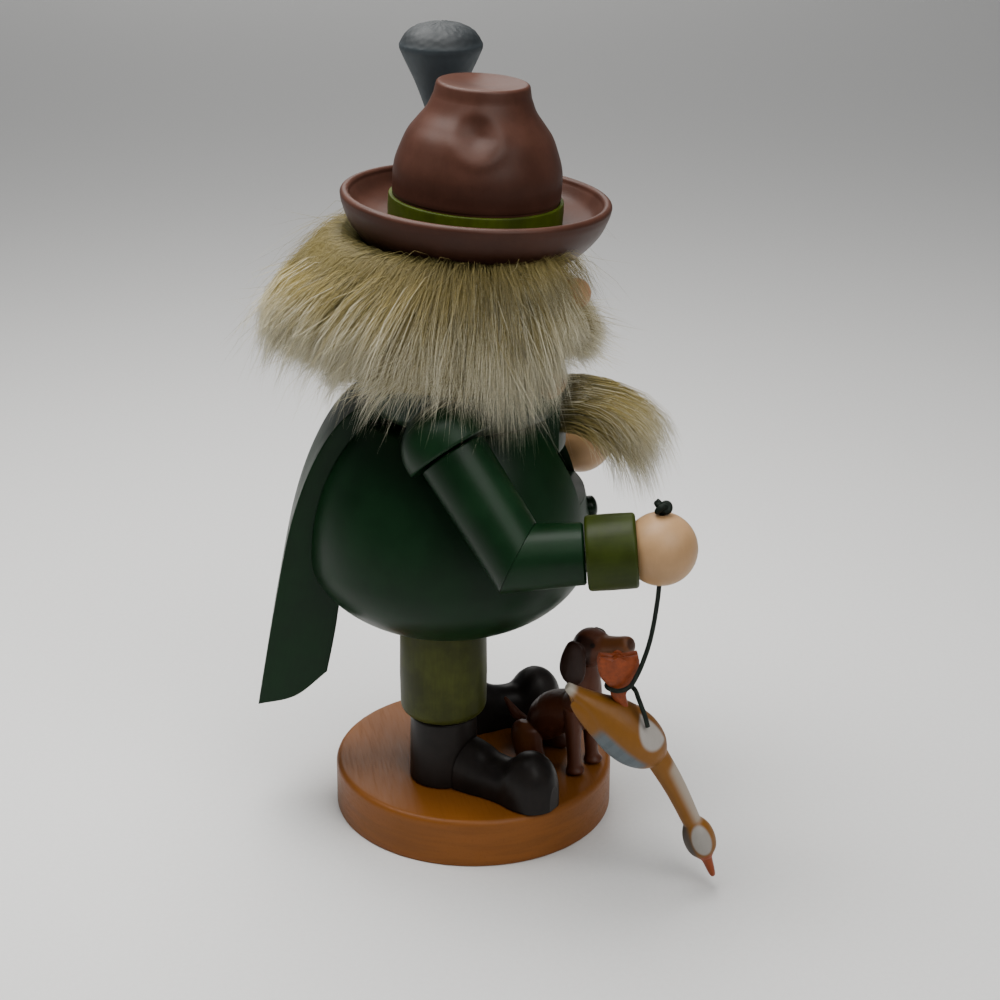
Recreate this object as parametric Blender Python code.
"""Wooden nutcracker figure: a round-bodied hunter with a hat, a hound and a bird on a cord.

Metres, +Z up. The origin is the centre of the base disc's underside. The figure faces -Y
and its right side is -X. The coat tail is the lever: it turns on a cross pin in the body
and carries the jaw on its front end.
"""

import math

import bmesh
import bpy
from mathutils import Matrix, Vector

# Clearances
SEAT_GAP = 0.0003
PIN_CLEARANCE = 0.0001
SLOT_CLEARANCE = 0.0004
CORD_HOLE_CLEARANCE = 0.0004

# Base disc
BASE_RADIUS = 0.035
BASE_HEIGHT = 0.0125
BASE_EDGE = 0.0015
DOWEL_RADIUS = 0.003
DOWEL_DEPTH_IN_BASE = 0.0075

# Legs, boots and shoes
LEG_SPACING = 0.022
LEG_SETBACK = 0.0077
BOOT_RADIUS = 0.0085
BOOT_HEIGHT = 0.0182
BREECHES_RADIUS = 0.01075
BREECHES_HEIGHT = 0.0192
SHOE_TOE_RADIUS = 0.0072
SHOE_REACH = 0.0325
SHOE_INSTEP_HEIGHT = 0.0125
RIGHT_SHOE_SPLAY = math.radians(35.0)
LEFT_SHOE_SPLAY = math.radians(20.0)

# Body
BODY_SETBACK = 0.0062
BODY_RADIUS = 0.0348
BODY_LOWER_DEPTH = 0.0215
BODY_UPPER_DEPTH = 0.0448
BODY_NECK_HEIGHT = 0.0346
LEG_DOWEL_DEPTH_IN_BODY = 0.011
BUTTON_RADIUS = 0.0028
BUTTON_HEIGHT = 0.0022
BUTTON_PITCH = 0.0145
TOP_BUTTON_DROP = 0.026

# Head
HEAD_RADIUS = 0.024
HEAD_BULGE = 0.0004
HEAD_SETBACK = 0.002
HEAD_HEIGHT = 0.0354
HEAD_LOWER_EDGE = 0.005
HEAD_UPPER_EDGE = 0.0065
NECK_DOWEL_RADIUS = 0.002
NECK_DOWEL_DEPTH = 0.007
NECK_DOWEL_OFFSET = 0.0143
NOSE_RADIUS = 0.0037

# Lever and jaw
LEVER_WIDTH = 0.021
LEVER_ARM_THICKNESS = 0.0115
LEVER_TOP_DROP = 0.0006
PIN_RADIUS = 0.0015
PIN_SETBACK = 0.009
PIN_DROP = 0.006
PIN_LENGTH = 0.032
JAW_WIDTH = 0.0204
JAW_DEPTH = 0.0137
JAW_DROP = 0.008
JAW_RISE = 0.008
MOUTH_GAP = 0.007
MOUTH_DEPTH = 0.0143
REAR_SLOT_HEIGHT = 0.0122
TAIL_REACH = 0.0535
TAIL_THICKNESS = 0.0172
TAIL_DROP = 0.074
LEVER_SWING = math.radians(20.0)

# Arms
SHOULDER_INSET = 0.0038
SHOULDER_CAP_RADIUS = 0.0107
SHOULDER_CAP_HEIGHT = 0.0117
SHOULDER_CAP_RIM = 0.0016
UPPER_ARM_RADIUS = 0.0081
ELBOW_RADIUS = 0.0077
WRIST_RADIUS = 0.0071
UPPER_ARM_LENGTH = 0.028
FOREARM_LENGTH = 0.0321
CUFF_RADIUS = 0.00855
CUFF_LENGTH = 0.0115
CUFF_EDGE = 0.0009
HAND_RADIUS = 0.0084
HAND_FLAT = 0.0049
SPIGOT_RADIUS = 0.003
SPIGOT_LENGTH = 0.005
ARM_DOWEL_RADIUS = 0.0025
ARM_DOWEL_DROP = 0.007
ARM_DOWEL_INNER = 0.018

# Hat
HAT_TILT = math.radians(3.35)
BRIM_RADIUS = 0.0314
BRIM_HEIGHT = 0.0153
BRIM_SEAT_RADIUS = 0.017
BRIM_LIP = 0.0021
CROWN_RADIUS = 0.0195
CROWN_TOP_RADIUS = 0.0104
CROWN_HEIGHT = 0.0318
PINCH_RADIUS = 0.0055
PINCH_DEPTH = 0.0012
BAND_HEIGHT = 0.0053
BAND_THICKNESS = 0.0007
HAT_DOWEL_RADIUS = 0.003
HAT_DOWEL_DEPTH = 0.006
TUFT_RADIUS = 0.00985
TUFT_STEM_RADIUS = 0.0022
TUFT_HEIGHT = 0.041
TUFT_PEG = 0.003
TUFT_TURN = math.radians(18.0)

# Fur
HAIR_BACK_REACH = 0.0215
HAIR_SIDE_REACH = 0.0145
HAIR_FRONT_REACH = 0.006
HAIR_BACK_PUFF = 0.0125
HAIR_SIDE_PUFF = 0.0065
HAIR_CLEAR_OF_NECK = 0.0055
HAIR_FACE_ANGLE = math.radians(50.0)
MOUSTACHE_HEIGHT = 0.0090
MOUSTACHE_DEPTH = 0.0076
MOUSTACHE_ANGLE = math.radians(31.0)
BEARD_LENGTH = 0.0265
BEARD_ROOT_HEIGHT = 0.0125
BEARD_WIDTH = 0.0125

# Cord and bird
CORD_RADIUS = 0.00055
CORD_KNOT_RADIUS = 0.0019
CORD_DROP = 0.0264
BIRD_LENGTH = 0.0295
BIRD_HALF_HEIGHT = 0.0066
BIRD_HALF_WIDTH = 0.0064
BIRD_PITCH = math.radians(40.7)
BIRD_NECK_RADIUS = 0.0026
BIRD_HEAD_RADIUS = 0.0040
FOOT_THICKNESS = 0.0019
FOOT_SPREAD = 0.0098
FOOT_LENGTH = 0.0080

# Hound
DOG_HEADING = math.radians(40.0)
DOG_OFFSET = 0.0088
DOG_EDGE_ROOM = 0.0076
DOG_TRACK = 0.0076
DOG_STANCE = 0.0145
DOG_LEG_RADIUS = 0.0019
DOG_CHEST_RADIUS = 0.0056
DOG_HEAD_RADIUS = 0.0050
DOG_SNOUT = 0.0128

LARGE_STEPS = 28
MEDIUM_STEPS = 18
SMALL_STEPS = 12
TINY_STEPS = 8

# Heights that follow from the sizes above
BASE_TOP = BASE_HEIGHT
BREECHES_Z = BASE_TOP + BOOT_HEIGHT
BODY_BOTTOM_Z = BREECHES_Z + BREECHES_HEIGHT
BODY_MIDDLE_Z = BODY_BOTTOM_Z + BODY_LOWER_DEPTH
NECK_Z = BODY_MIDDLE_Z + BODY_NECK_HEIGHT
HEAD_Z = NECK_Z + SEAT_GAP
HEAD_TOP_Z = HEAD_Z + HEAD_HEIGHT
PIN_Z = NECK_Z - PIN_DROP
JAW_BOTTOM_Z = NECK_Z - JAW_DROP
JAW_TOP_Z = NECK_Z + JAW_RISE
MOUTH_ROOF_Z = JAW_TOP_Z + MOUTH_GAP
SHOULDER_Z = NECK_Z + 0.0004
DOWEL_TOP_Z = BODY_BOTTOM_Z + LEG_DOWEL_DEPTH_IN_BODY

UP = Vector((0.0, 0.0, 1.0))


def clear_scene():
    """Start from an empty scene."""
    for thing in list(bpy.data.objects):
        bpy.data.objects.remove(thing, do_unlink=True)


def make_material(name, colour, roughness, metallic=0.0):
    """A painted, stained or fibre finish as one Principled material."""
    material = bpy.data.materials.new(name)
    material.use_nodes = True
    shader = material.node_tree.nodes["Principled BSDF"]
    shader.inputs["Base Color"].default_value = (*colour, 1.0)
    shader.inputs["Roughness"].default_value = roughness
    shader.inputs["Metallic"].default_value = metallic
    material.diffuse_color = (*colour, 1.0)
    return material


def add_object(name, mesh, material, sharp_angle=40.0):
    """Wrap a bmesh as a named object with its material and smooth shading."""
    bmesh.ops.remove_doubles(mesh, verts=mesh.verts, dist=1e-7)
    bmesh.ops.recalc_face_normals(mesh, faces=mesh.faces)
    data = bpy.data.meshes.new(name)
    mesh.to_mesh(data)
    mesh.free()
    data.shade_smooth()
    data.set_sharp_from_angle(angle=math.radians(sharp_angle))
    if material is not None:
        data.materials.append(material)
    item = bpy.data.objects.new(name, data)
    bpy.context.scene.collection.objects.link(item)
    return item


def add_axis(name, location, parent=None):
    """An empty on a joint's axis, which the pieces that move with it hang from."""
    axis = bpy.data.objects.new(name, None)
    axis.empty_display_size = 0.01
    bpy.context.scene.collection.objects.link(axis)
    axis.location = location
    if parent is not None:
        axis.location = Vector(location) - parent.matrix_world.translation
        axis.parent = parent
    bpy.context.view_layer.update()
    return axis


def hang_on(axis, *items):
    """Parent the pieces to an axis empty and leave them where they are."""
    bpy.context.view_layer.update()
    for item in items:
        place = item.matrix_world.copy()
        item.parent = axis
        item.matrix_parent_inverse = axis.matrix_world.inverted()
        item.matrix_world = place
    bpy.context.view_layer.update()


def aim(item, location, direction):
    """Put a piece's origin at a place and turn its local Z along a direction."""
    item.location = location
    item.rotation_euler = Vector(direction).to_track_quat("Z", "Y").to_euler()
    bpy.context.view_layer.update()
    return item


def turned(profile, steps):
    """Revolve (radius, height) points about Z; a profile off the axis is closed on itself."""
    mesh = bmesh.new()
    points = [mesh.verts.new((radius, 0.0, height)) for radius, height in profile]
    edges = [mesh.edges.new(pair) for pair in zip(points, points[1:])]
    if profile[0][0] > 0.0 and profile[-1][0] > 0.0:
        edges.append(mesh.edges.new((points[-1], points[0])))
    bmesh.ops.spin(mesh, geom=points + edges, axis=(0, 0, 1), cent=(0, 0, 0),
                   angle=2 * math.pi, steps=steps, use_merge=True)
    bmesh.ops.remove_doubles(mesh, verts=mesh.verts, dist=1e-7)
    return mesh


def arc(centre, radii, start, end, steps):
    """Points of an elliptic arc in the (radius, height) plane, angles in degrees."""
    points = []
    for step in range(steps + 1):
        angle = math.radians(start + (end - start) * step / steps)
        points.append((centre[0] + radii[0] * math.cos(angle),
                       centre[1] + radii[1] * math.sin(angle)))
    return points


def cylinder(radius, low, high, steps=TINY_STEPS):
    """A plain round rod along Z between two heights."""
    return turned([(0.0, low), (radius, low), (radius, high), (0.0, high)], steps)


def smooth_points(points, steps):
    """A smooth curve through the given points, with the same number of steps in each span."""
    knots = [Vector(point) for point in points]
    knots = [2 * knots[0] - knots[1]] + knots + [2 * knots[-1] - knots[-2]]
    curve = []
    for index in range(1, len(knots) - 2):
        before, start, end, after = knots[index - 1:index + 3]
        for step in range(steps):
            t = step / steps
            curve.append(0.5 * (2 * start + (end - before) * t
                                + (2 * before - 5 * start + 4 * end - after) * t * t
                                + (3 * start - before - 3 * end + after) * t ** 3))
    curve.append(knots[-2])
    return curve


def board(outline, half_width):
    """Saw a (y, z) outline out of a board that is as wide as given along X."""
    mesh = bmesh.new()
    corners = [mesh.verts.new((-half_width, y, z)) for y, z in outline]
    face = mesh.faces.new(corners)
    grown = bmesh.ops.extrude_face_region(mesh, geom=[face])
    moved = [part for part in grown["geom"] if isinstance(part, bmesh.types.BMVert)]
    bmesh.ops.translate(mesh, verts=moved, vec=(2 * half_width, 0, 0))
    return mesh


def loft(sections):
    """Skin closed rings of equal count in order and close both ends with a fan."""
    mesh = bmesh.new()
    rings = [[mesh.verts.new(point) for point in ring] for ring in sections]
    count = len(rings[0])
    for lower, upper in zip(rings, rings[1:]):
        for index in range(count):
            after = (index + 1) % count
            mesh.faces.new((lower[index], lower[after], upper[after], upper[index]))
    for ring in (rings[0], rings[-1]):
        middle = mesh.verts.new(sum((vert.co for vert in ring), Vector()) / count)
        for index in range(count):
            mesh.faces.new((ring[index], ring[(index + 1) % count], middle))
    return mesh


def swept(path, sizes, steps, side=Vector((1.0, 0.0, 0.0))):
    """Loft ellipses square to a path; sizes are (half width along side, half height)."""
    sections = []
    last = len(path) - 1
    for index, point in enumerate(path):
        before = path[max(index - 1, 0)]
        after = path[min(index + 1, last)]
        along = (after - before).normalized()
        across = (side - along * side.dot(along)).normalized()
        over = along.cross(across)
        wide, high = sizes[index]
        sections.append([point + across * (wide * math.cos(2 * math.pi * k / steps))
                         + over * (high * math.sin(2 * math.pi * k / steps))
                         for k in range(steps)])
    return loft(sections)


def bulged(start, end, profile, steps, side=Vector((1.0, 0.0, 0.0))):
    """A straight carved form: profile rows are (share of the length, half width, half height)."""
    path = [start.lerp(end, share) for share, _, _ in profile]
    return swept(path, [(wide, high) for _, wide, high in profile], steps, side)


def cut(piece, cutter, name):
    """Take a cutter's shape out of a piece with a Boolean."""
    cutter.name = name
    cutter.hide_render = True
    cutter.display_type = "WIRE"
    tool = piece.modifiers.new(name, "BOOLEAN")
    tool.operation = "DIFFERENCE"
    tool.object = cutter


def cut_mesh(piece, mesh, name, location=None, direction=UP):
    """Cut a piece with a bmesh that is placed like any other piece."""
    cutter = add_object(name, mesh, None)
    if location is not None:
        aim(cutter, location, direction)
    cut(piece, cutter, name)
    return cutter


def seat(piece, neighbour, gap=SEAT_GAP):
    """Shape a piece to its neighbour's surface, a seat gap away from it."""
    mesh = bmesh.new()
    mesh.from_mesh(neighbour.data)
    mesh.normal_update()
    moves = [vert.normal * gap * vert.calc_shell_factor() for vert in mesh.verts]
    for vert, move in zip(mesh.verts, moves):
        vert.co += move
    name = f"{piece.name}_seat_on_{neighbour.name}"
    cutter = add_object(name, mesh, None)
    bpy.context.view_layer.update()
    cutter.matrix_world = neighbour.matrix_world
    cut(piece, cutter, name)


def cut_off(mesh, point, normal):
    """Saw a mesh at a plane, drop what lies on the normal's side and close the face."""
    whole = mesh.verts[:] + mesh.edges[:] + mesh.faces[:]
    sawn = bmesh.ops.bisect_plane(mesh, geom=whole, plane_co=point, plane_no=normal,
                                  clear_outer=True)
    rim = [part for part in sawn["geom_cut"] if isinstance(part, bmesh.types.BMEdge)]
    bmesh.ops.holes_fill(mesh, edges=rim)


def body_radius(height):
    """Half width of the egg-shaped body at a height."""
    depth = BODY_UPPER_DEPTH if height > BODY_MIDDLE_Z else BODY_LOWER_DEPTH
    share = (height - BODY_MIDDLE_Z) / depth
    return BODY_RADIUS * math.sqrt(max(0.0, 1.0 - share * share))


def body_profile():
    """Egg from the flattened bottom through the widest point to the neck flat."""
    lower = arc((0.0, BODY_MIDDLE_Z), (BODY_RADIUS, BODY_LOWER_DEPTH), -90, 0, 8)
    neck_angle = math.degrees(math.asin(BODY_NECK_HEIGHT / BODY_UPPER_DEPTH))
    upper = arc((0.0, BODY_MIDDLE_Z), (BODY_RADIUS, BODY_UPPER_DEPTH), 0, neck_angle, 7)
    return [(0.0, lower[0][1])] + lower[1:] + upper[1:] + [(0.0, NECK_Z)]


def lever_inner_line():
    """The lever's lower and inner edge, from the arm under the head down to the tail's end."""
    arm_bottom = NECK_Z - LEVER_TOP_DROP - LEVER_ARM_THICKNESS
    low = NECK_Z - TAIL_DROP
    points = [
        (PIN_SETBACK, arm_bottom),
        (TAIL_REACH - TAIL_THICKNESS * 1.948, arm_bottom - LEVER_ARM_THICKNESS * 0.130),
        (TAIL_REACH - TAIL_THICKNESS * 1.541, arm_bottom - LEVER_ARM_THICKNESS * 0.739),
        (TAIL_REACH - TAIL_THICKNESS * 1.331, low + TAIL_DROP * 0.554),
        (TAIL_REACH - TAIL_THICKNESS * 1.134, low + TAIL_DROP * 0.274),
        (TAIL_REACH - TAIL_THICKNESS, low + TAIL_DROP * 0.120),
    ]
    return [(point.x, point.y) for point in smooth_points([(y, z, 0) for y, z in points], 3)]


def lever_outer_line():
    """The lever's upper and outer edge, from the arm up over the shoulder and down the tail."""
    arm_top = NECK_Z - LEVER_TOP_DROP
    low = NECK_Z - TAIL_DROP
    points = [
        (PIN_SETBACK, arm_top),
        (PIN_SETBACK * 1.722, arm_top + LEVER_ARM_THICKNESS * 0.391),
        (PIN_SETBACK * 2.500, arm_top + LEVER_ARM_THICKNESS * 0.539),
        (TAIL_REACH - TAIL_THICKNESS * 1.320, arm_top + LEVER_ARM_THICKNESS * 0.148),
        (TAIL_REACH - TAIL_THICKNESS * 0.901, arm_top - TAIL_DROP * 0.1216),
        (TAIL_REACH - TAIL_THICKNESS * 0.552, arm_top - TAIL_DROP * 0.3405),
        (TAIL_REACH - TAIL_THICKNESS * 0.267, low + TAIL_DROP * 0.338),
        (TAIL_REACH, low),
    ]
    return [(point.x, point.y) for point in smooth_points([(y, z, 0) for y, z in points], 3)]


def tail_end_line():
    """The convex sawn end of the tail, from its sharp tip to the inner edge."""
    tip = lever_outer_line()[-1]
    heel = lever_inner_line()[-1]
    middle = ((tip[0] + heel[0]) / 2 - TAIL_THICKNESS * 0.035, (tip[1] + heel[1]) / 2 - TAIL_DROP * 0.030)
    points = smooth_points([(*tip, 0), (*middle, 0), (*heel, 0)], 3)
    return [(point.x, point.y) for point in points[1:-1]]


def jaw_back():
    """Where the jaw block ends and the lever's arm begins, along Y."""
    return HEAD_SETBACK - HEAD_RADIUS + JAW_DEPTH


def make_base(finish):
    """Turned disc with a rounded top edge and a blind hole for each leg dowel."""
    low = BASE_TOP - DOWEL_DEPTH_IN_BASE
    profile = [(0.0, 0.0), (BASE_RADIUS - BASE_EDGE / 3, 0.0), (BASE_RADIUS, BASE_EDGE / 3)]
    profile += arc((BASE_RADIUS - BASE_EDGE, BASE_TOP - BASE_EDGE), (BASE_EDGE, BASE_EDGE), 0, 90, 3)
    profile += [(0.0, BASE_TOP)]
    base = add_object("base", turned(profile, LARGE_STEPS), finish["base"])
    for side, name in ((-1, "right"), (1, "left")):
        hole = cylinder(DOWEL_RADIUS + SEAT_GAP, low - SEAT_GAP, BASE_TOP + 0.002)
        cut_mesh(base, hole, f"base_{name}_dowel_hole", (side * LEG_SPACING / 2, LEG_SETBACK, 0))
    return base


def shoe_mesh():
    """Shoe along local -Y from under the shaft: instep, crease and round toe on a flat sole."""
    toe_centre = SHOE_REACH - SHOE_TOE_RADIUS
    rows = [
        (0.0020, 0.0062, SHOE_INSTEP_HEIGHT),
        (0.0070, 0.0066, SHOE_INSTEP_HEIGHT),
        (0.0115, 0.0064, SHOE_INSTEP_HEIGHT * 0.92),
        (0.0150, 0.0060, SHOE_INSTEP_HEIGHT * 0.80),
        (toe_centre - SHOE_TOE_RADIUS * 0.75, 0.0063, SHOE_TOE_RADIUS * 1.45),
        (toe_centre - SHOE_TOE_RADIUS * 0.35, SHOE_TOE_RADIUS * 0.97, SHOE_TOE_RADIUS * 1.86),
        (toe_centre + SHOE_TOE_RADIUS * 0.10, SHOE_TOE_RADIUS * 1.02, SHOE_TOE_RADIUS * 1.98),
        (toe_centre + SHOE_TOE_RADIUS * 0.55, SHOE_TOE_RADIUS * 0.90, SHOE_TOE_RADIUS * 1.76),
        (toe_centre + SHOE_TOE_RADIUS * 0.85, SHOE_TOE_RADIUS * 0.62, SHOE_TOE_RADIUS * 1.32),
        (toe_centre + SHOE_TOE_RADIUS, SHOE_TOE_RADIUS * 0.30, SHOE_TOE_RADIUS * 0.80),
    ]
    steps = 12
    sections = []
    for along, half_width, height in rows:
        ring = []
        for index in range(steps + 1):
            angle = math.pi * index / steps
            bulge = abs(math.sin(angle)) ** 0.8
            ring.append(Vector((half_width * math.cos(angle) * (1.0 - 0.12 * (1 - bulge)), -along,
                                height * bulge)))
        sections.append(ring)
    return loft(sections)


def make_legs(finish, body):
    """Boot shaft, shoe and breeches leg on a dowel, right and left."""
    for side, name, splay in ((-1, "right", -RIGHT_SHOE_SPLAY), (1, "left", LEFT_SHOE_SPLAY)):
        x = side * LEG_SPACING / 2
        bore = DOWEL_RADIUS + SEAT_GAP
        low = BASE_TOP + SEAT_GAP
        high = BREECHES_Z - SEAT_GAP
        shaft = add_object(f"{name}_boot_shaft", turned([
            (bore, low), (BOOT_RADIUS, low), (BOOT_RADIUS - 0.0002, (low + high) / 2),
            (BOOT_RADIUS - 0.0003, high - 0.0008), (BOOT_RADIUS - 0.0010, high), (bore, high),
        ], MEDIUM_STEPS), finish["boot"])
        shaft.location = (x, LEG_SETBACK, 0)
        edge = 0.0028
        leg_profile = [(bore, BREECHES_Z)]
        leg_profile += arc((BREECHES_RADIUS - edge - 0.0002, BREECHES_Z + edge), (edge, edge), -90, 0, 3)
        leg_profile += [
            (BREECHES_RADIUS, BREECHES_Z + BREECHES_HEIGHT * 0.55),
            (BREECHES_RADIUS - 0.0002, BODY_BOTTOM_Z),
            (BREECHES_RADIUS - 0.0005, BODY_MIDDLE_Z - BODY_LOWER_DEPTH / 2),
            (bore, BODY_MIDDLE_Z - BODY_LOWER_DEPTH / 2),
        ]
        leg = add_object(f"{name}_breeches_leg", turned(leg_profile, MEDIUM_STEPS), finish["breeches"])
        leg.location = (x, LEG_SETBACK, 0)
        dowel = add_object(f"{name}_leg_dowel", cylinder(
            DOWEL_RADIUS, BASE_TOP - DOWEL_DEPTH_IN_BASE, DOWEL_TOP_Z), finish["dowel"])
        dowel.location = (x, LEG_SETBACK, 0)
        shoe = add_object(f"{name}_shoe", shoe_mesh(), finish["boot"], 60.0)
        shoe.location = (x, LEG_SETBACK, BASE_TOP + SEAT_GAP)
        shoe.rotation_euler = (0, 0, splay)
        bpy.context.view_layer.update()
        seat(leg, body)
        shoe_room = cylinder(BOOT_RADIUS + SEAT_GAP, -0.002, BOOT_HEIGHT * 2, MEDIUM_STEPS)
        cut_mesh(shoe, shoe_room, f"{name}_shoe_heel_seat", (x, LEG_SETBACK, BASE_TOP))
        hole = cylinder(bore, BODY_BOTTOM_Z - 0.005, DOWEL_TOP_Z + SEAT_GAP)
        cut_mesh(body, hole, f"body_{name}_dowel_hole", (x, LEG_SETBACK, 0))


def make_body(finish):
    """Turned egg that is flat under the head."""
    body = add_object("body", turned(body_profile(), LARGE_STEPS), finish["coat"])
    body.location = (0, BODY_SETBACK, 0)
    bpy.context.view_layer.update()
    return body


def slot_body(body):
    """Open the chest, the top and the back of the body for the jaw and the lever."""
    half = LEVER_WIDTH / 2 + SLOT_CLEARANCE
    inner = lever_inner_line()
    front_reach = BODY_RADIUS * 1.3
    deep = math.sin(LEVER_SWING) * (PIN_SETBACK + HEAD_RADIUS)
    arm_bottom = inner[0][1]
    floor = [(-front_reach, JAW_BOTTOM_Z - deep * 1.25),
             (jaw_back() + 0.004, JAW_BOTTOM_Z - deep),
             (PIN_SETBACK, arm_bottom - 0.0018)]
    groove = []
    for index, (y, z) in list(enumerate(inner))[2:]:
        ahead = inner[min(index + 1, len(inner) - 1)]
        behind = inner[index - 1]
        run = Vector((ahead[0] - behind[0], ahead[1] - behind[1])).normalized()
        groove.append((y + run.y * SLOT_CLEARANCE, z - run.x * SLOT_CLEARANCE))
    low = groove[-1][1]
    beyond = TAIL_REACH + 0.02
    outline = floor + groove + [(beyond, low), (beyond, NECK_Z + 0.01), (-front_reach, NECK_Z + 0.01)]
    cut_mesh(body, board(outline, half), "lever_slot")
    pin_hole = cylinder(PIN_RADIUS + PIN_CLEARANCE, -PIN_LENGTH / 2 - SEAT_GAP,
                        PIN_LENGTH / 2 + SEAT_GAP, SMALL_STEPS)
    cut_mesh(body, pin_hole, "body_pin_hole", (0, PIN_SETBACK, PIN_Z), (1, 0, 0))


def make_buttons(finish, body):
    """Two domed wooden buttons down the front of the coat."""
    for index, name in enumerate(("upper_coat_button", "lower_coat_button")):
        z = NECK_Z - TOP_BUTTON_DROP - index * BUTTON_PITCH
        profile = [(0.0, -0.003), (BUTTON_RADIUS, -0.003), (BUTTON_RADIUS, BUTTON_HEIGHT * 0.35)]
        profile += arc((0.0, BUTTON_HEIGHT * 0.35), (BUTTON_RADIUS, BUTTON_HEIGHT * 0.65), 0, 90, 4)[1:]
        button = add_object(name, turned(profile, SMALL_STEPS), finish["button"])
        front = BODY_SETBACK - body_radius(z)
        depth = BODY_UPPER_DEPTH if z > BODY_MIDDLE_Z else BODY_LOWER_DEPTH
        slope = (z - BODY_MIDDLE_Z) / depth ** 2 * BODY_RADIUS ** 2 / body_radius(z)
        aim(button, (0, front, z), (0, -1, slope))
        seat(button, body)


def make_head(finish):
    """Turned barrel with the mouth cut in front and the lever's slot behind."""
    edge_low = HEAD_LOWER_EDGE
    edge_high = HEAD_UPPER_EDGE
    profile = [(0.0, HEAD_Z)]
    profile += arc((HEAD_RADIUS - edge_low, HEAD_Z + edge_low), (edge_low, edge_low), -90, 0, 3)
    profile += [(HEAD_RADIUS + HEAD_BULGE, HEAD_Z + HEAD_HEIGHT / 2)]
    profile += arc((HEAD_RADIUS - edge_high, HEAD_TOP_Z - edge_high), (edge_high, edge_high), 0, 90, 3)
    profile += [(0.0, HEAD_TOP_Z)]
    head = add_object("head", turned(profile, LARGE_STEPS), finish["skin"])
    head.location = (0, HEAD_SETBACK, 0)
    bpy.context.view_layer.update()
    half = JAW_WIDTH / 2 + SLOT_CLEARANCE
    back = HEAD_SETBACK - HEAD_RADIUS + MOUTH_DEPTH
    mouth = [(back, NECK_Z - 0.002), (back, MOUTH_ROOF_Z), (-BASE_RADIUS, MOUTH_ROOF_Z),
             (-BASE_RADIUS, NECK_Z - 0.002)]
    cut_mesh(head, board(mouth, half), "mouth_opening")
    half = LEVER_WIDTH / 2 + SLOT_CLEARANCE
    roof = NECK_Z + REAR_SLOT_HEIGHT
    rear = [(PIN_SETBACK - 0.003, NECK_Z - 0.002), (BASE_RADIUS, NECK_Z - 0.002),
            (BASE_RADIUS, roof), (PIN_SETBACK + 0.006, roof), (PIN_SETBACK - 0.003, NECK_Z + 0.004)]
    cut_mesh(head, board(rear, half), "rear_slot")
    return head


def make_neck_dowels(finish, body, head):
    """Two short dowels between body and head, one each side of the lever slot."""
    y = HEAD_SETBACK - 0.005
    for side, name in ((-1, "right"), (1, "left")):
        place = (side * NECK_DOWEL_OFFSET, y, NECK_Z)
        dowel = add_object(f"{name}_neck_dowel", cylinder(
            NECK_DOWEL_RADIUS, -NECK_DOWEL_DEPTH, NECK_DOWEL_DEPTH), finish["dowel"])
        dowel.location = place
        for piece in (body, head):
            deep = NECK_DOWEL_DEPTH + SEAT_GAP
            hole = cylinder(NECK_DOWEL_RADIUS + SEAT_GAP, -deep, deep)
            cut_mesh(piece, hole, f"{piece.name}_{name}_neck_hole", place)


def make_lever(finish):
    """Coat tail board with its arm under the head, bored for the pin."""
    front = jaw_back() + SEAT_GAP
    arm_top = NECK_Z - LEVER_TOP_DROP
    outline = [(front, arm_top - LEVER_ARM_THICKNESS)]
    outline += lever_inner_line()
    outline += tail_end_line()[::-1]
    outline += lever_outer_line()[::-1]
    outline += [(front, arm_top)]
    lever = add_object("coat_tail_lever", board(outline, LEVER_WIDTH / 2), finish["coat"])
    hole = cylinder(PIN_RADIUS + PIN_CLEARANCE, -LEVER_WIDTH, LEVER_WIDTH, SMALL_STEPS)
    cut_mesh(lever, hole, "lever_pin_hole", (0, PIN_SETBACK, PIN_Z), (1, 0, 0))
    pin = add_object("lever_pin", cylinder(PIN_RADIUS, -PIN_LENGTH / 2, PIN_LENGTH / 2, SMALL_STEPS),
                     finish["pin"])
    aim(pin, (0, PIN_SETBACK, PIN_Z), (1, 0, 0))
    return lever


def make_jaw(finish):
    """Jaw block with a front face curved like the head's."""
    half = JAW_WIDTH / 2
    radius = HEAD_RADIUS
    mesh = bmesh.new()
    corner = math.asin(half / radius)
    outline = []
    count = 6
    for index in range(count + 1):
        angle = -corner + 2 * corner * index / count
        outline.append((radius * math.sin(angle), HEAD_SETBACK - radius * math.cos(angle)))
    outline += [(half, jaw_back()), (-half, jaw_back())]
    face = mesh.faces.new([mesh.verts.new((x, y, JAW_BOTTOM_Z)) for x, y in outline])
    grown = bmesh.ops.extrude_face_region(mesh, geom=[face])
    top = [part for part in grown["geom"] if isinstance(part, bmesh.types.BMVert)]
    bmesh.ops.translate(mesh, verts=top, vec=(0, 0, JAW_TOP_Z - JAW_BOTTOM_Z))
    return add_object("jaw", mesh, finish["skin"])


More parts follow.
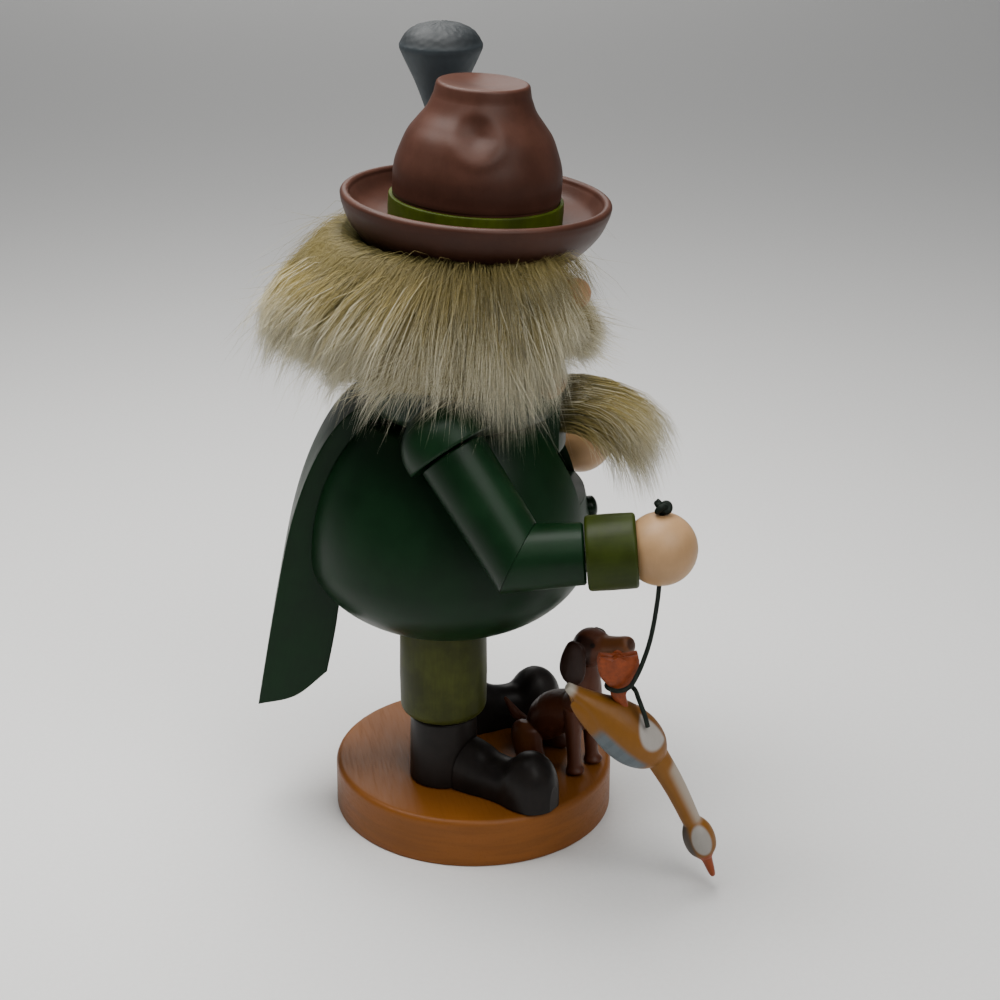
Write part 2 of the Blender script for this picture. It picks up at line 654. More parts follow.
def make_beard(finish, jaw):
    """Fur on the jaw's front: a wedge that stands forward and droops."""
    rows = [
        (-0.06, 0.000, 0.78, 0.50),
        (0.10, 0.008, 0.80, 0.53),
        (0.35, -0.068, 0.92, 0.56),
        (0.65, -0.196, 1.00, 0.49),
        (0.88, -0.347, 0.78, 0.36),
        (1.00, -0.460, 0.45, 0.20),
    ]
    front = HEAD_SETBACK - HEAD_RADIUS - SEAT_GAP
    middle = JAW_TOP_Z - BEARD_ROOT_HEIGHT * 0.564
    steps = 14
    sections = []
    for share, drop, width, height in rows:
        ring = []
        for index in range(steps):
            angle = 2 * math.pi * index / steps
            x = BEARD_WIDTH * width * math.cos(angle)
            z = middle + BEARD_LENGTH * drop + BEARD_ROOT_HEIGHT * height * math.sin(angle)
            curve = HEAD_RADIUS - math.sqrt(HEAD_RADIUS ** 2 - x * x)
            ring.append(Vector((x, front + curve * (1 - share) - BEARD_LENGTH * share, z)))
        sections.append(ring)
    beard = add_object("beard", loft(sections), finish["fur"], 60.0)
    seat(beard, jaw)
    return beard


def make_moustache(finish):
    """Fur over the mouth: a tapered roll that follows the face."""
    radius = HEAD_RADIUS + HEAD_BULGE + SEAT_GAP + MOUSTACHE_DEPTH / 2
    middle = MOUTH_ROOF_Z + MOUSTACHE_HEIGHT / 2 + 0.0002
    count = 10
    path = []
    sizes = []
    for index in range(count + 1):
        share = 2 * index / count - 1
        angle = MOUSTACHE_ANGLE * share
        swell = max(0.35, math.sqrt(1 - 0.85 * share * share))
        ring_radius = radius - MOUSTACHE_DEPTH / 2 * (1 - swell)
        path.append(Vector((ring_radius * math.sin(angle), HEAD_SETBACK - ring_radius * math.cos(angle),
                            middle)))
        sizes.append((MOUSTACHE_HEIGHT / 2 * swell, MOUSTACHE_DEPTH / 2 * swell))
    return add_object("moustache", swept(path, sizes, 10, UP), finish["fur"], 60.0)


def make_nose(finish, head):
    """Round nose on the face, just above the moustache."""
    z = MOUTH_ROOF_Z + MOUSTACHE_HEIGHT + 2 * SEAT_GAP + NOSE_RADIUS
    profile = [(0.0, -NOSE_RADIUS)] + arc((0.0, 0.0), (NOSE_RADIUS, NOSE_RADIUS), -60, 90, 7)
    profile[-1] = (0.0, NOSE_RADIUS)
    nose = add_object("nose", turned(profile, SMALL_STEPS), finish["nose"])
    aim(nose, (0, HEAD_SETBACK - HEAD_RADIUS - NOSE_RADIUS * 0.45, z), (0, -1, 0))
    seat(nose, head)
    return nose


def hair_section(reach, puff):
    """Closed (radius, height) outline of the fur: flat on the head, swelling up to the brim."""
    inner = HEAD_RADIUS + HEAD_BULGE + SEAT_GAP
    low = NECK_Z + HAIR_CLEAR_OF_NECK
    high = HEAD_TOP_Z
    return [
        (inner, low),
        (inner + reach * 0.42, low - 0.0010),
        (inner + reach * 0.82, low + 0.0045),
        (inner + reach, low + 0.0140),
        (inner + reach * 0.97, low + 0.0250),
        (inner + reach * 0.80, high + puff * 0.45),
        (inner + reach * 0.52, high + puff),
        (inner + reach * 0.24, high + puff),
        (inner, high + 0.0020),
    ]


def make_hair(finish, obstacles):
    """Fur strip round the sides and back of the head, open at the face."""
    count = 16
    sections = []
    for index in range(count + 1):
        angle = HAIR_FACE_ANGLE + (2 * math.pi - 2 * HAIR_FACE_ANGLE) * index / count
        backward = max(0.0, -math.cos(angle))
        edge = min(1.0, min(index, count - index) / 3)
        reach = HAIR_SIDE_REACH + (HAIR_BACK_REACH - HAIR_SIDE_REACH) * backward
        reach = HAIR_FRONT_REACH + (reach - HAIR_FRONT_REACH) * edge
        puff = HAIR_SIDE_PUFF + (HAIR_BACK_PUFF - HAIR_SIDE_PUFF) * backward
        sections.append([Vector((-radius * math.sin(angle), HEAD_SETBACK - radius * math.cos(angle), z))
                         for radius, z in hair_section(reach, puff)])
    hair = add_object("hair", loft(sections), finish["fur"], 60.0)
    top = NECK_Z + REAR_SLOT_HEIGHT + SEAT_GAP
    room = [(PIN_SETBACK, NECK_Z - 0.01), (TAIL_REACH + 0.02, NECK_Z - 0.01),
            (TAIL_REACH + 0.02, top - 0.004), (PIN_SETBACK + 0.022, top - 0.001),
            (PIN_SETBACK + 0.012, top), (PIN_SETBACK, top)]
    cut_mesh(hair, board(room, LEVER_WIDTH / 2 + 2 * SLOT_CLEARANCE), "hair_lever_room")
    for obstacle in obstacles:
        seat(hair, obstacle)
    return hair


def make_hat(finish, head):
    """Saucer brim and bell crown on one tilted axis, with a ribbon round the crown's foot."""
    tilt = Matrix.Rotation(HAT_TILT, 4, "X")
    seat_z = HEAD_TOP_Z + SEAT_GAP + math.sin(HAT_TILT) * BRIM_SEAT_RADIUS
    axis = add_axis("hat_axis", (0, 0, 0))
    axis.matrix_world = Matrix.Translation((0, HEAD_SETBACK - 0.0015, seat_z)) @ tilt
    bpy.context.view_layer.update()
    top = BRIM_HEIGHT
    lip = BRIM_LIP / 2
    floor = top - 0.0062
    bore = HAT_DOWEL_RADIUS + SEAT_GAP
    brim_profile = [
        (bore, 0.0), (BRIM_SEAT_RADIUS, 0.0), (BRIM_RADIUS * 0.70, 0.0018), (BRIM_RADIUS * 0.82, 0.0044),
        (BRIM_RADIUS * 0.93, 0.0084), (BRIM_RADIUS * 0.985, 0.0122),
    ]
    brim_profile += arc((BRIM_RADIUS - lip, top - lip), (lip, lip), 0, 180, 4)
    brim_profile += [
        (BRIM_RADIUS * 0.86, top - 0.0040), (BRIM_RADIUS * 0.74, floor + 0.0006), (CROWN_RADIUS, floor),
        (bore, floor),
    ]
    brim = add_object("hat_brim", turned(brim_profile, LARGE_STEPS), finish["hat"])
    foot = floor + SEAT_GAP
    high = foot + CROWN_HEIGHT
    groove = CROWN_RADIUS - 0.0003
    band_top = foot + BAND_HEIGHT + 2 * SEAT_GAP
    dowel_top = foot + HAT_DOWEL_DEPTH + SEAT_GAP
    bell = [(1.0, 0.33), (0.985, 0.41), (0.94, 0.50), (0.86, 0.62), (0.755, 0.71), (0.645, 0.80),
            (0.575, 0.90)]
    crown_profile = [(bore, foot), (groove, foot), (groove, band_top), (CROWN_RADIUS, band_top)]
    crown_profile += [(CROWN_RADIUS * width, foot + CROWN_HEIGHT * share) for width, share in bell]
    crown_profile += [
        (CROWN_TOP_RADIUS + 0.0001, high - 0.0010), (CROWN_TOP_RADIUS - 0.0007, high - 0.0001),
        (CROWN_TOP_RADIUS - 0.0016, high - 0.0002), (CROWN_TOP_RADIUS * 0.4, high - 0.0009),
        (0.0, high - 0.0011), (0.0, dowel_top), (bore, dowel_top),
    ]
    crown = add_object("hat_crown", turned_ring(crown_profile, LARGE_STEPS), finish["hat"])
    band_inner = groove + SEAT_GAP
    band = add_object("hat_band", turned([
        (band_inner, foot), (band_inner + BAND_THICKNESS, foot),
        (band_inner + BAND_THICKNESS, foot + BAND_HEIGHT), (band_inner, foot + BAND_HEIGHT),
    ], LARGE_STEPS), finish["band"])
    dowel = add_object("hat_dowel", cylinder(HAT_DOWEL_RADIUS, -HAT_DOWEL_DEPTH,
                                             foot + HAT_DOWEL_DEPTH), finish["dowel"])
    for item in (brim, crown, band, dowel):
        item.parent = axis
    bpy.context.view_layer.update()
    hole = add_object("head_hat_hole", cylinder(HAT_DOWEL_RADIUS + SEAT_GAP, -HAT_DOWEL_DEPTH - SEAT_GAP,
                                                BRIM_HEIGHT), None)
    hole.parent = axis
    bpy.context.view_layer.update()
    cut(head, hole, "head_hat_hole")
    for side, name in ((-1, "right"), (1, "left")):
        dent = turned([(0.0, -PINCH_RADIUS)] + arc((0, 0), (PINCH_RADIUS, PINCH_RADIUS), -75, 75, 6)
                      + [(0.0, PINCH_RADIUS)], SMALL_STEPS)
        bmesh.ops.scale(dent, vec=(1.0, 1.35, 1.0), verts=dent.verts)
        cutter = add_object(f"{name}_pinch", dent, None)
        cutter.parent = axis
        cutter.location = (side * (CROWN_RADIUS * 0.86 + PINCH_RADIUS - PINCH_DEPTH), 0,
                           foot + CROWN_HEIGHT * 0.645)
        bpy.context.view_layer.update()
        cut(crown, cutter, f"{name}_pinch")
    tuft_x = band_inner + BAND_THICKNESS + SEAT_GAP + TUFT_STEM_RADIUS
    stem_foot = floor + 0.0003
    rim = TUFT_HEIGHT * 0.86
    tuft_profile = [
        (0.0, stem_foot - TUFT_PEG), (TUFT_STEM_RADIUS, stem_foot - TUFT_PEG),
        (TUFT_STEM_RADIUS, stem_foot + TUFT_HEIGHT * 0.33),
        (TUFT_STEM_RADIUS * 1.45, stem_foot + TUFT_HEIGHT * 0.45),
        (TUFT_RADIUS * 0.60, stem_foot + TUFT_HEIGHT * 0.64), (TUFT_RADIUS * 0.93, stem_foot + rim * 0.945),
        (TUFT_RADIUS, stem_foot + rim), (TUFT_RADIUS * 0.965, stem_foot + rim + 0.0012),
        (TUFT_RADIUS * 0.80, stem_foot + rim + 0.0034), (TUFT_RADIUS * 0.48, stem_foot + rim + 0.0050),
        (0.0, stem_foot + TUFT_HEIGHT),
    ]
    tuft = add_object("hat_tuft", turned(tuft_profile, MEDIUM_STEPS), finish["tuft"])
    tuft.parent = axis
    tuft.matrix_parent_inverse = tilt.inverted()
    tuft.location = tilt @ Vector((tuft_x * math.cos(TUFT_TURN), tuft_x * math.sin(TUFT_TURN), 0.0))
    socket = add_object("tuft_socket", cylinder(TUFT_STEM_RADIUS + SEAT_GAP, stem_foot - TUFT_PEG - SEAT_GAP,
                                                BRIM_HEIGHT * 2, SMALL_STEPS), None)
    socket.parent = axis
    socket.matrix_parent_inverse = tilt.inverted()
    socket.location = tuft.location
    bpy.context.view_layer.update()
    cut(brim, socket, "tuft_socket")
    return brim


def turned_ring(profile, steps):
    """Revolve a profile whose middle points lie on the axis and whose ends do not."""
    mesh = bmesh.new()
    points = [mesh.verts.new((radius, 0.0, height)) for radius, height in profile]
    edges = []
    for start, end in zip(points, points[1:] + points[:1]):
        if start.co.x > 0.0 or end.co.x > 0.0:
            edges.append(mesh.edges.new((start, end)))
    bmesh.ops.spin(mesh, geom=points + edges, axis=(0, 0, 1), cent=(0, 0, 0),
                   angle=2 * math.pi, steps=steps, use_merge=True)
    bmesh.ops.remove_doubles(mesh, verts=mesh.verts, dist=1e-7)
    return mesh


def arm_points(side):
    """Shoulder, elbow and hand centre of one arm; side is -1 for the right, 1 for the left."""
    reach = BODY_RADIUS - SHOULDER_INSET
    if side < 0:
        shoulder = Vector((-reach, BODY_SETBACK - 0.0004, SHOULDER_Z))
        upper = Vector((-0.0110, -0.0147, -0.0211))
        fore = Vector((-0.0020, -0.0319, 0.0029))
    else:
        shoulder = Vector((reach, BODY_SETBACK + 0.0008, SHOULDER_Z))
        upper = Vector((0.0110, -0.0040, -0.0262))
        fore = Vector((-0.0070, -0.0314, 0.0036))
    elbow = shoulder + upper.normalized() * UPPER_ARM_LENGTH
    hand = elbow + fore.normalized() * FOREARM_LENGTH
    return shoulder, elbow, hand


def make_arm(side, name, finish, body, head):
    """Capped upper arm, forearm mitred to it, cuff and round hand, with spigots between."""
    shoulder, elbow, hand_at = arm_points(side)
    upper = (elbow - shoulder).normalized()
    fore = (hand_at - elbow).normalized()
    bore = SPIGOT_RADIUS + SEAT_GAP

    cap_profile = [
        (0.0, SPIGOT_LENGTH + SEAT_GAP), (bore, SPIGOT_LENGTH + SEAT_GAP), (bore, 0.0),
        (SHOULDER_CAP_RADIUS - 0.0005, 0.0), (SHOULDER_CAP_RADIUS, 0.0005),
    ]
    cap_profile += arc((0.0, SHOULDER_CAP_RIM),
                       (SHOULDER_CAP_RADIUS, SHOULDER_CAP_HEIGHT - SHOULDER_CAP_RIM), 0, 90, 5)
    cap_profile[-1] = (0.0, SHOULDER_CAP_HEIGHT)
    cap = add_object(f"{name}_shoulder_cap", turned(cap_profile, MEDIUM_STEPS), finish["coat"])
    aim(cap, shoulder, -upper)

    middle = UPPER_ARM_LENGTH / 2
    arm_mesh = turned([
        (0.0, -SPIGOT_LENGTH), (SPIGOT_RADIUS, -SPIGOT_LENGTH), (SPIGOT_RADIUS, SEAT_GAP),
        (UPPER_ARM_RADIUS, SEAT_GAP), ((UPPER_ARM_RADIUS + ELBOW_RADIUS) / 2, middle),
        (ELBOW_RADIUS, UPPER_ARM_LENGTH), (ELBOW_RADIUS, UPPER_ARM_LENGTH + 2 * ELBOW_RADIUS),
        (0.0, UPPER_ARM_LENGTH + 2 * ELBOW_RADIUS),
    ], MEDIUM_STEPS)
    mitre = (upper + fore).normalized()
    turn = upper.to_track_quat("Z", "Y").to_matrix()
    cut_off(arm_mesh, Vector((0, 0, UPPER_ARM_LENGTH)) - turn.inverted() @ mitre * SEAT_GAP / 2,
            turn.inverted() @ mitre)
    upper_arm = add_object(f"{name}_upper_arm", arm_mesh, finish["coat"])
    aim(upper_arm, shoulder, upper)

    cuff_end = FOREARM_LENGTH - HAND_FLAT - SEAT_GAP
    cuff_start = cuff_end - CUFF_LENGTH
    wrist = cuff_start - SEAT_GAP
    spigot_end = cuff_end + SPIGOT_LENGTH * 0.55
    fore_mesh = turned([
        (0.0, -2 * ELBOW_RADIUS), (ELBOW_RADIUS, -2 * ELBOW_RADIUS), (ELBOW_RADIUS, 0.0),
        (WRIST_RADIUS, wrist), (SPIGOT_RADIUS, wrist), (SPIGOT_RADIUS, spigot_end), (0.0, spigot_end),
    ], MEDIUM_STEPS)
    turn = fore.to_track_quat("Z", "Y").to_matrix()
    cut_off(fore_mesh, turn.inverted() @ mitre * SEAT_GAP / 2, -(turn.inverted() @ mitre))
    forearm = add_object(f"{name}_forearm", fore_mesh, finish["coat"])
    aim(forearm, elbow, fore)

    edge = CUFF_EDGE
    cuff_profile = [(bore, cuff_start), (CUFF_RADIUS - edge, cuff_start)]
    cuff_profile += arc((CUFF_RADIUS - edge, cuff_start + edge), (edge, edge), -90, 0, 2)[1:]
    cuff_profile += arc((CUFF_RADIUS - edge, cuff_end - edge), (edge, edge), 0, 90, 2)
    cuff_profile += [(bore, cuff_end)]
    cuff = add_object(f"{name}_cuff", turned(cuff_profile, MEDIUM_STEPS), finish["cuff"])
    aim(cuff, elbow, fore)

    flat = FOREARM_LENGTH - HAND_FLAT
    flat_angle = -math.degrees(math.asin(HAND_FLAT / HAND_RADIUS))
    hand_profile = [(0.0, spigot_end + SEAT_GAP), (bore, spigot_end + SEAT_GAP), (bore, flat)]
    hand_profile += arc((0.0, FOREARM_LENGTH), (HAND_RADIUS, HAND_RADIUS), flat_angle, 90, 7)
    hand_profile[-1] = (0.0, FOREARM_LENGTH + HAND_RADIUS)
    hand = add_object(f"{name}_hand", turned(hand_profile, MEDIUM_STEPS), finish["skin"])
    aim(hand, elbow, fore)

    peg_z = shoulder.z - ARM_DOWEL_DROP
    share = (shoulder.z - peg_z) / (shoulder.z - elbow.z)
    peg_at = shoulder.lerp(elbow, share)
    inner = ARM_DOWEL_INNER
    outer = abs(peg_at.x) + UPPER_ARM_RADIUS * 0.25
    seat(cap, body)
    seat(cap, head)
    seat(upper_arm, body)
    seat(forearm, body)
    direction = (side, 0, 0)
    dowel = add_object(f"{name}_arm_dowel", cylinder(ARM_DOWEL_RADIUS, inner, outer), finish["dowel"])
    aim(dowel, (0, peg_at.y, peg_z), direction)
    for piece in (body, upper_arm):
        hole = cylinder(ARM_DOWEL_RADIUS + SEAT_GAP, inner - SEAT_GAP, outer + SEAT_GAP)
        cut_mesh(piece, hole, f"{piece.name}_{name}_peg_hole", (0, peg_at.y, peg_z), direction)
    return {"cap": cap, "upper_arm": upper_arm, "hand": hand, "hand_at": hand_at}


def cord_route(hand_at):
    """The cord's own points, from under the hand, over the feet and once round the ankles."""
    top = hand_at.z - HAND_RADIUS - SEAT_GAP
    points = [
        (0.0000, 0.0000, 0.0000), (0.0000, 0.0003, -0.0045), (-0.0002, 0.0009, -0.0095),
        (-0.0012, 0.0018, -0.0138), (-0.0028, 0.0031, -0.0173), (-0.0035, 0.0046, -0.0210),
        (-0.0036, 0.0064, -0.0242), (-0.0031, 0.0089, -0.0254), (-0.0010, 0.0110, -0.0257),
        (0.0018, 0.0109, -0.0260), (0.0032, 0.0087, -0.0263), (0.0028, 0.0061, -0.0267),
        (0.0006, 0.0046, -0.0271), (-0.0022, 0.0041, -0.0277), (-0.0041, 0.0034, -0.0291),
        (-0.0049, 0.0026, -0.0313), (-0.0052, 0.0020, -0.0336),
    ]
    return [Vector((hand_at.x + x, hand_at.y + y, top + z)) for x, y, z in points]


def even_points(points, spacing):
    """Read points at an even spacing from the smooth curve through the given points."""
    fine = smooth_points(points, 12)
    lengths = [0.0]
    for before, after in zip(fine, fine[1:]):
        lengths.append(lengths[-1] + (after - before).length)
    count = max(2, round(lengths[-1] / spacing))
    chosen = []
    index = 0
    for step in range(count + 1):
        target = lengths[-1] * step / count
        while index < len(lengths) - 2 and lengths[index + 1] < target:
            index += 1
        span = lengths[index + 1] - lengths[index]
        chosen.append(fine[index].lerp(fine[index + 1], (target - lengths[index]) / span))
    return chosen


def make_cord(finish, hand, hand_at):
    """Knot on the hand with the stretch through its hole, and the hanging cord below."""
    hole = cylinder(CORD_RADIUS + CORD_HOLE_CLEARANCE, -2 * HAND_RADIUS, 2 * HAND_RADIUS)
    cut_mesh(hand, hole, "hand_cord_hole", hand_at)
    top = HAND_RADIUS + SEAT_GAP
    knot = CORD_KNOT_RADIUS
    profile = [(0.0, -HAND_RADIUS), (CORD_RADIUS, -HAND_RADIUS), (CORD_RADIUS, top)]
    profile += arc((knot * 0.35, top + knot * 0.65), (knot * 0.65, knot * 0.65), -80, 60, 4)
    profile += [(knot * 0.55, top + knot * 1.35)]
    profile += arc((knot * 0.25, top + knot * 1.95), (knot * 0.55, knot * 0.55), -50, 80, 4)
    profile += [(0.0, top + knot * 2.5)]
    cord_knot = add_object("cord_knot", turned(profile, TINY_STEPS), finish["cord"])
    cord_knot.location = hand_at
    points = even_points(cord_route(hand_at), 2.3 * 2 * CORD_RADIUS)
    curve = bpy.data.curves.new("hanging_cord", "CURVE")
    curve.dimensions = "3D"
    curve.bevel_depth = CORD_RADIUS
    curve.bevel_resolution = 2
    curve.use_fill_caps = True
    spline = curve.splines.new("POLY")
    spline.points.add(len(points) - 1)
    origin = points[0]
    for place, point in zip(spline.points, points):
        place.co = (*(point - origin), 1.0)
    curve.materials.append(finish["cord"])
    cord = bpy.data.objects.new("hanging_cord", curve)
    bpy.context.scene.collection.objects.link(cord)
    cord.location = origin
    return cord_knot, cord


def make_bird(finish, hand_at):
    """Game bird that hangs head down by its webbed feet."""
    ankle = hand_at + Vector((0.0, CORD_DROP * 0.32, -HAND_RADIUS - CORD_DROP))
    down = Vector((0.0, -math.cos(BIRD_PITCH), -math.sin(BIRD_PITCH)))
    over = Vector((0.0, -math.sin(BIRD_PITCH), math.cos(BIRD_PITCH)))
    middle = ankle + Vector((0.0, -BIRD_LENGTH * 0.012, -BIRD_LENGTH * 0.342))
    tail = middle - down * BIRD_LENGTH * 0.55
    breast = middle + down * BIRD_LENGTH * 0.45
    wide = BIRD_HALF_WIDTH
    high = BIRD_HALF_HEIGHT
    rows = [
        (0.00, 0.22 * wide, 0.14 * high), (0.10, 0.38 * wide, 0.26 * high), (0.26, 0.58 * wide, 0.52 * high),
        (0.42, 0.82 * wide, 0.84 * high), (0.58, 1.00 * wide, 1.00 * high), (0.74, 1.02 * wide, 1.00 * high),
        (0.88, 0.82 * wide, 0.80 * high), (0.97, 0.48 * wide, 0.46 * high), (1.00, 0.20 * wide, 0.18 * high),
    ]
    body = add_object("bird_body", bulged(tail, breast, rows, 12), finish["bird"], 60.0)

    head_at = breast + Vector((0.0, -BIRD_LENGTH * 0.322, -BIRD_LENGTH * 0.695))
    neck_path = smooth_points([breast - down * BIRD_LENGTH * 0.102 + over * BIRD_LENGTH * 0.041,
                               breast - Vector((0.0, BIRD_LENGTH * 0.119, BIRD_LENGTH * 0.254)), head_at], 3)
    count = len(neck_path) - 1
    sizes = [(BIRD_NECK_RADIUS * (1.12 - 0.32 * index / count),) * 2 for index in range(count + 1)]
    neck = add_object("bird_neck", swept(neck_path, sizes, 10), finish["bird"], 60.0)

    nod = Vector((0.0, -0.34, -0.940)).normalized()
    crown = head_at - nod * BIRD_HEAD_RADIUS * 1.05
    beak = head_at + nod * BIRD_HEAD_RADIUS * 3.08
    size = BIRD_HEAD_RADIUS
    head_rows = [
        (0.00, 0.20 * size, 0.20 * size), (0.07, 0.58 * size, 0.60 * size), (0.20, 0.88 * size, 0.92 * size),
        (0.34, 0.92 * size, 1.00 * size), (0.48, 0.74 * size, 0.80 * size), (0.58, 0.48 * size, 0.48 * size),
        (0.66, 0.36 * size, 0.34 * size), (0.88, 0.34 * size, 0.24 * size), (0.97, 0.24 * size, 0.17 * size),
        (1.00, 0.10 * size, 0.08 * size),
    ]
    head = add_object("bird_head", bulged(crown, beak, head_rows, 12), finish["bird"], 60.0)

    feet = []
    hip = middle + over * high * 0.40 + down * 0.0005
    for side, name in ((-1, "right"), (1, "left")):
        shift = Vector((side * (FOOT_THICKNESS / 2 + SEAT_GAP / 2), 0.0, 0.0))
        toe = ankle + Vector((0.0, 0.0004, FOOT_LENGTH))
        path = [hip, hip.lerp(ankle, 0.55), ankle - UP * 0.0012, ankle + UP * 0.0012,
                ankle.lerp(toe, 0.45), ankle.lerp(toe, 0.8), toe]
        spans = (0.0011, 0.0010, 0.0016, 0.0016, FOOT_SPREAD * 0.36, FOOT_SPREAD * 0.48, FOOT_SPREAD * 0.44)
        depth = FOOT_THICKNESS / 2
        foot = swept([point + shift for point in path], [(depth, span) for span in spans], 8)
        feet.append(add_object(f"bird_{name}_foot", foot, finish["bird_feet"], 60.0))
    seat(neck, body)
    seat(neck, head)
    for foot in feet:
        seat(foot, body)
    return body, neck, head, *feet


def make_dog(finish):
    """Seated hound that looks up at the bird."""
    heading = Vector((-math.sin(DOG_HEADING), -math.cos(DOG_HEADING), 0.0))
    right = Vector((-math.cos(DOG_HEADING), math.sin(DOG_HEADING), 0.0))
    front_mid = Vector((-DOG_OFFSET, DOG_EDGE_ROOM - BASE_RADIUS, BASE_TOP))
    hind_mid = front_mid - heading * DOG_STANCE
    size = DOG_CHEST_RADIUS
    rump = hind_mid - heading * size * 0.09 + UP * size * 0.93
    chest = front_mid - heading * size * 0.18 + UP * size * 3.07
    nape = front_mid + heading * size * 0.11 + UP * size * 5.38
    back = smooth_points([rump, rump.lerp(chest, 0.5) - heading * size * 0.18 + UP * size * 0.25, chest,
                          nape], 3)
    shares = [0.45, 0.80, 0.98, 1.02, 1.00, 0.98, 0.92, 0.80, 0.66, 0.56]
    body = add_object("dog_body", swept(back, [(size * share, size * share) for share in shares], 12, right),
                      finish["dog"], 60.0)

    head_at = nape + heading * DOG_HEAD_RADIUS * 0.20 + UP * DOG_HEAD_RADIUS * 0.84
    look = (heading + UP * 0.34).normalized()
    skull = head_at - look * DOG_HEAD_RADIUS * 0.95
    nose = head_at + look * DOG_SNOUT
    size = DOG_HEAD_RADIUS
    rows = [
        (0.00, 0.30 * size, 0.30 * size), (0.08, 0.66 * size, 0.68 * size), (0.20, 0.90 * size, 0.94 * size),
        (0.33, 0.92 * size, 0.96 * size), (0.47, 0.74 * size, 0.74 * size), (0.58, 0.56 * size, 0.54 * size),
        (0.75, 0.50 * size, 0.48 * size), (0.90, 0.50 * size, 0.48 * size), (0.97, 0.40 * size, 0.38 * size),
        (1.00, 0.20 * size, 0.20 * size),
    ]
    head = add_object("dog_head", bulged(skull, nose, rows, 12, right), finish["dog"], 60.0)

    for side, name in ((1, "right"), (-1, "left")):
        root = head_at + right * side * size * 0.86 - look * size * 0.16 + UP * size * 0.42
        tip = root - UP * size * 2.04 + right * side * size * 0.24 - heading * size * 0.24
        shares = [(0.0, 0.12, 0.24), (0.12, 0.18, 0.42), (0.45, 0.20, 0.60),
                  (0.75, 0.20, 0.62), (0.93, 0.16, 0.40), (1.0, 0.08, 0.16)]
        rows = [(along, size * thick, size * wide) for along, thick, wide in shares]
        ear_mesh = bulged(root + right * side * size * 0.12, tip, rows, 8, right)
        ear = add_object(f"dog_{name}_ear", ear_mesh, finish["dog_ear"], 60.0)

        paw = front_mid + right * side * DOG_TRACK / 2 + UP * SEAT_GAP
        shoulder = chest + right * side * DOG_CHEST_RADIUS * 0.62 + UP * 0.0008
        radius = DOG_LEG_RADIUS
        path = [shoulder, shoulder.lerp(paw, 0.35), shoulder.lerp(paw, 0.75), paw + UP * 0.0022,
                paw + UP * 0.0009 + heading * 0.0004, paw]
        sizes = [(radius * 1.25,) * 2, (radius * 1.1,) * 2, (radius * 0.9,) * 2, (radius * 0.95,) * 2,
                 (radius * 1.25,) * 2, (radius * 1.15,) * 2]
        front_leg = add_object(f"dog_{name}_front_leg", upright(path, sizes, 8), finish["dog"], 60.0)

        foot = hind_mid + right * side * DOG_TRACK * 0.62 + UP * SEAT_GAP
        low = foot + heading * 0.0012
        path = [foot + UP * 0.0098 - heading * 0.0006, foot + UP * 0.0086, foot + UP * 0.0062,
                foot + UP * 0.0034 + heading * 0.0004, low + UP * 0.0012, low]
        sizes = [(0.0012, 0.0018), (0.0023, 0.0036), (0.0028, 0.0045), (0.0026, 0.0046),
                 (0.0023, 0.0048), (0.0020, 0.0044)]
        hind_leg = add_object(f"dog_{name}_hind_leg", upright(path, sizes, 10, right), finish["dog_tan"],
                              60.0)
        seat(ear, head)
        for piece in (ear, front_leg, hind_leg):
            seat(piece, body)

    tail_root = rump - heading * 0.0010 + UP * 0.0008
    path = smooth_points([tail_root, tail_root - heading * 0.0052 + UP * 0.0020,
                          tail_root - heading * 0.0092 + UP * 0.0056], 3)
    radii = [0.0015, 0.00145, 0.0014, 0.0013, 0.0011, 0.0009, 0.0005]
    tail = add_object("dog_tail", swept(path, [(radius,) * 2 for radius in radii], 8, right),
                      finish["dog"], 60.0)
    seat(head, body)
    seat(tail, body)


def upright(path, sizes, steps, side=Vector((1.0, 0.0, 0.0))):
    """Loft level ellipses down a leg, so that the paw stands flat."""
    over = UP.cross(side)
    sections = []
    for point, (wide, high) in zip(path, sizes):
        sections.append([point + side * (wide * math.cos(2 * math.pi * k / steps))
                         + over * (high * math.sin(2 * math.pi * k / steps)) for k in range(steps)])
    return loft(sections)


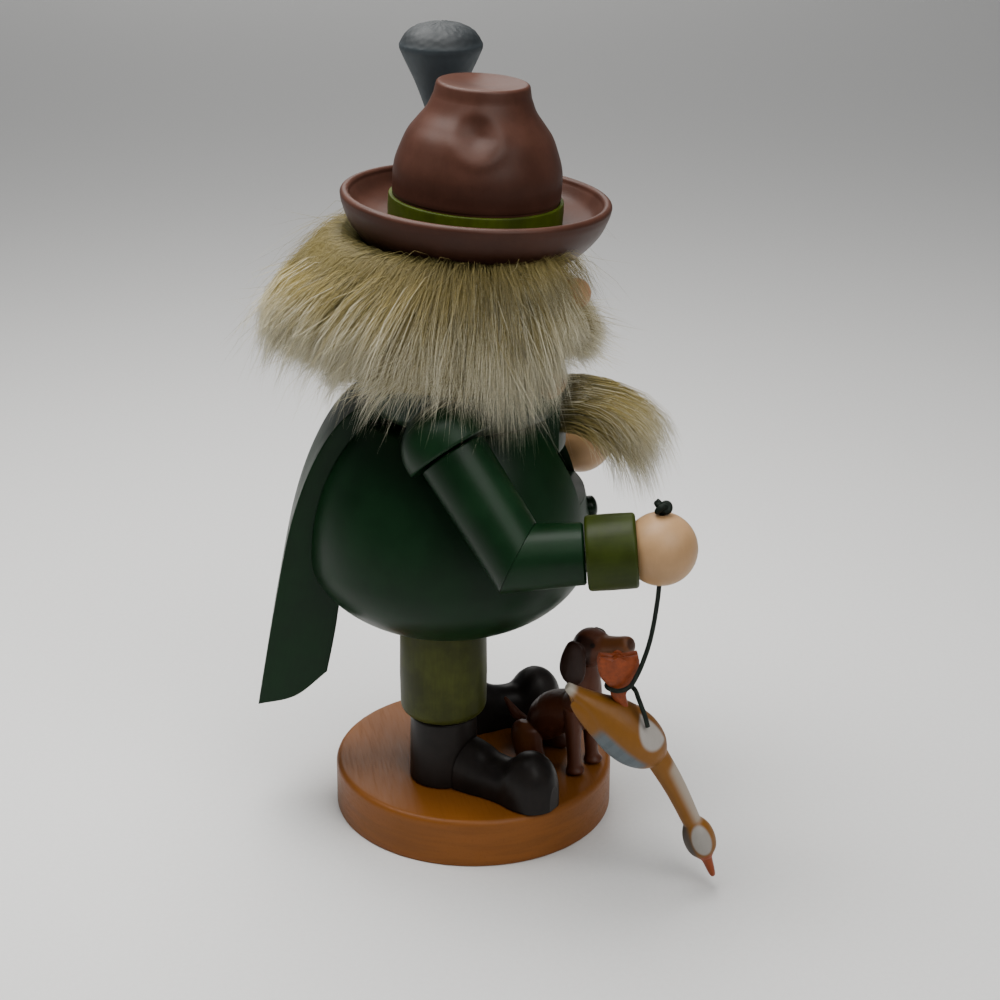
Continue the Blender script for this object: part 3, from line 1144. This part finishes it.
def make_finishes():
    """One Principled material for each finish on the figure."""
    return {
        "base": make_material("orange_stained_wood", (0.36, 0.14, 0.02), 0.45),
        "dowel": make_material("plain_beech", (0.62, 0.45, 0.27), 0.6),
        "boot": make_material("black_brown_lacquer", (0.03, 0.022, 0.020), 0.35),
        "breeches": make_material("olive_lacquer", (0.11, 0.13, 0.03), 0.45),
        "coat": make_material("dark_green_lacquer", (0.014, 0.045, 0.024), 0.35),
        "cuff": make_material("moss_green_lacquer", (0.09, 0.11, 0.01), 0.45),
        "button": make_material("button_green", (0.012, 0.035, 0.02), 0.3),
        "skin": make_material("skin_tone_lacquer", (0.72, 0.47, 0.30), 0.4),
        "nose": make_material("rosy_lacquer", (0.70, 0.33, 0.22), 0.4),
        "pin": make_material("steel_pin", (0.55, 0.55, 0.56), 0.35, 1.0),
        "fur": make_material("tan_fur", (0.46, 0.40, 0.24), 0.9),
        "hat": make_material("red_brown_lacquer", (0.12, 0.035, 0.022), 0.35),
        "band": make_material("olive_band", (0.08, 0.09, 0.01), 0.5),
        "tuft": make_material("blue_grey_lacquer", (0.11, 0.14, 0.17), 0.4),
        "cord": make_material("dark_green_cord", (0.012, 0.022, 0.012), 0.7),
        "bird": make_material("ochre_paint", (0.27, 0.14, 0.035), 0.5),
        "bird_feet": make_material("orange_paint", (0.60, 0.12, 0.02), 0.5),
        "dog": make_material("chestnut_paint", (0.10, 0.030, 0.018), 0.45),
        "dog_ear": make_material("dark_ear_paint", (0.035, 0.013, 0.010), 0.5),
        "dog_tan": make_material("tan_paint", (0.33, 0.14, 0.05), 0.5),
    }


def main():
    clear_scene()
    finish = make_finishes()
    make_base(finish)
    body = make_body(finish)
    make_legs(finish, body)
    head = make_head(finish)
    right = make_arm(-1, "right", finish, body, head)
    left = make_arm(1, "left", finish, body, head)
    make_buttons(finish, body)
    slot_body(body)
    make_nose(finish, head)
    make_neck_dowels(finish, body, head)
    lever = make_lever(finish)
    jaw = make_jaw(finish)
    beard = make_beard(finish, jaw)
    make_moustache(finish)
    brim = make_hat(finish, head)
    make_hair(finish, [brim, right["upper_arm"], left["upper_arm"], right["cap"], left["cap"]])
    cord_knot, cord = make_cord(finish, right["hand"], right["hand_at"])
    bird = make_bird(finish, right["hand_at"])
    make_dog(finish)

    hinge = add_axis("lever_axis", (0, PIN_SETBACK, PIN_Z))
    hang_on(hinge, lever, jaw, beard)
    twist = add_axis("cord_turn_axis", right["hand_at"])
    hang_on(twist, cord_knot)
    swing = add_axis("bird_swing_axis", right["hand_at"] - UP * HAND_RADIUS, twist)
    hang_on(swing, cord, *bird)


main()
